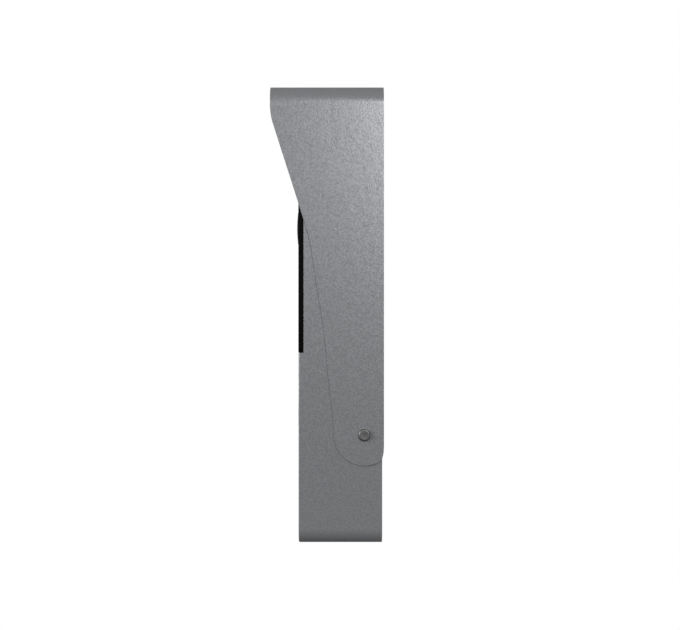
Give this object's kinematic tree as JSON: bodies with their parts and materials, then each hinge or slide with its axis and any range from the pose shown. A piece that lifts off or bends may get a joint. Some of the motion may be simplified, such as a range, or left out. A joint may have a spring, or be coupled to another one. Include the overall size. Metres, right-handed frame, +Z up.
{
  "type": "video doorbell",
  "caption": "Slim wall-mounted video doorbell with a bent-sheet rain hood, black window panel with camera, and a round call button.",
  "frame": {"origin": "centre of the four wall-screw holes, on the bracket's back face", "axes": "+Z up, -Y out of the wall through the front face, +X to the right of someone looking out from the wall"},
  "size_m": [0.0692, 0.0457, 0.184],
  "materials": {
    "coated_metal": "fine sand-textured grey powder coat, semi-matt",
    "window_black": "polished black, infrared-transparent",
    "black_plastic": "fine moulded texture",
    "white_plastic": "moulded",
    "seal_rubber": "matt",
    "stainless_screws": "plain stainless",
    "bezel_black": "satin black",
    "lens_glass": "coated optical glass",
    "circuit_board": "solder-mask green",
    "silicon_chip": "sensor glass",
    "led_lens": "clear epoxy",
    "light_guide": "frosted clear",
    "brushed_button": "turned stainless",
    "heat_sink_metal": "plain aluminium",
    "terminal_green": "moulded",
    "terminal_steel": "zinc plated",
    "ribbon_film": "flat flexible film",
    "copper_coil": "enamelled copper",
    "magnet_steel": "nickel plated",
    "speaker_metal": "black painted steel",
    "speaker_paper": "coated paper",
    "wire_jacket": "wire insulation"
  },
  "bodies": {
    "station": {"board_screws": "stainless_screws", "button_bezel": "brushed_button", "button_board": "circuit_board", "button_leds": "led_lens", "button_light_ring": "light_guide", "button_nut": "stainless_screws", "button_spring": "stainless_screws", "call_switch": "black_plastic", "camera_board": "circuit_board", "camera_ribbon": "ribbon_film", "capacitors": "heat_sink_metal", "coin_cell": "stainless_screws", "coin_cell_holder": "black_plastic", "compartment_seal": "seal_rubber", "filter_case": "black_plastic", "filter_coil": "copper_coil", "front_housing": "coated_metal", "heat_sink": "heat_sink_metal", "hood_bracket": "coated_metal", "image_sensor": "silicon_chip", "infrared_board": "circuit_board", "infrared_leds": "led_lens", "lens_barrel": "black_plastic", "lens_bezel": "bezel_black", "lens_front_element": "lens_glass", "lens_holder": "black_plastic", "lens_window": "lens_glass", "light_shield": "seal_rubber", "main_board": "circuit_board", "microphone": "magnet_steel", "microphone_boot": "seal_rubber", "panel_gasket": "seal_rubber", "processor": "black_plastic", "rear_cover": "black_plastic", "rear_cover_gasket": "seal_rubber", "rear_cover_screws": "stainless_screws", "relay": "black_plastic", "reset_switch": "black_plastic", "side_screws": "stainless_screws", "speaker_frame": "speaker_metal", "speaker_gasket": "seal_rubber", "speaker_lead": "wire_jacket", "speaker_magnet": "magnet_steel", "speaker_mesh": "speaker_metal", "speaker_surround": "seal_rubber", "status_light_guide": "light_guide", "tamper_spring": "stainless_screws", "tamper_switch": "black_plastic", "terminal_block": "terminal_green", "terminal_screws": "terminal_steel", "window_panel": "window_black"},
    "call_button": {"button_cap": "brushed_button", "button_clip": "stainless_screws"},
    "switch_plunger": {"call_switch_plunger": "white_plastic"},
    "tamper_pin": {"tamper_plunger": "white_plastic"},
    "reset_pin": {"reset_plunger": "white_plastic"},
    "filter_drive": {"filter_rotor": "magnet_steel"},
    "filter_carriage": {"filter_slider": "black_plastic", "filter_panes": "lens_glass"},
    "cone": {"speaker_cone": "speaker_paper"}
  },
  "joints": [
    {"name": "call_button_press", "type": "slide", "parent": "station", "child": "call_button", "axis": [0, 1, 0], "range_m": [0, 0.0006], "stiffness_N_per_m": 2500, "deforming": ["button_spring"]},
    {"name": "call_switch_press", "type": "slide", "parent": "station", "child": "switch_plunger", "axis": [0, 1, 0], "range_m": [0, 0.0006]},
    {"name": "tamper_press", "type": "slide", "parent": "station", "child": "tamper_pin", "axis": [0, -1, 0], "range_m": [-0.0015, 0.0008], "stiffness_N_per_m": 600, "deforming": ["tamper_spring"]},
    {"name": "reset_press", "type": "slide", "parent": "station", "child": "reset_pin", "axis": [0, -1, 0], "range_m": [0, 0.0003], "stiffness_N_per_m": 3000},
    {"name": "filter_turn", "type": "hinge", "parent": "station", "child": "filter_drive", "pos_m": [0, -0.0179, 0.0229], "axis": [0, -1, 0], "range_deg": [0, 45]},
    {"name": "filter_slide", "type": "slide", "parent": "station", "child": "filter_carriage", "axis": [-1, 0, 0], "range_m": [0, 0.006]},
    {"name": "cone_travel", "type": "slide", "parent": "station", "child": "cone", "axis": [0, -1, 0], "range_m": [-0.0004, 0.0004], "stiffness_N_per_m": 1500, "deforming": ["speaker_surround"]}
  ],
  "couplings": [
    {"joint": "call_switch_press", "follows": "call_button_press", "ratio": 1},
    {"joint": "filter_turn", "follows": "filter_slide", "rad_per_m": 128.1}
  ]
}
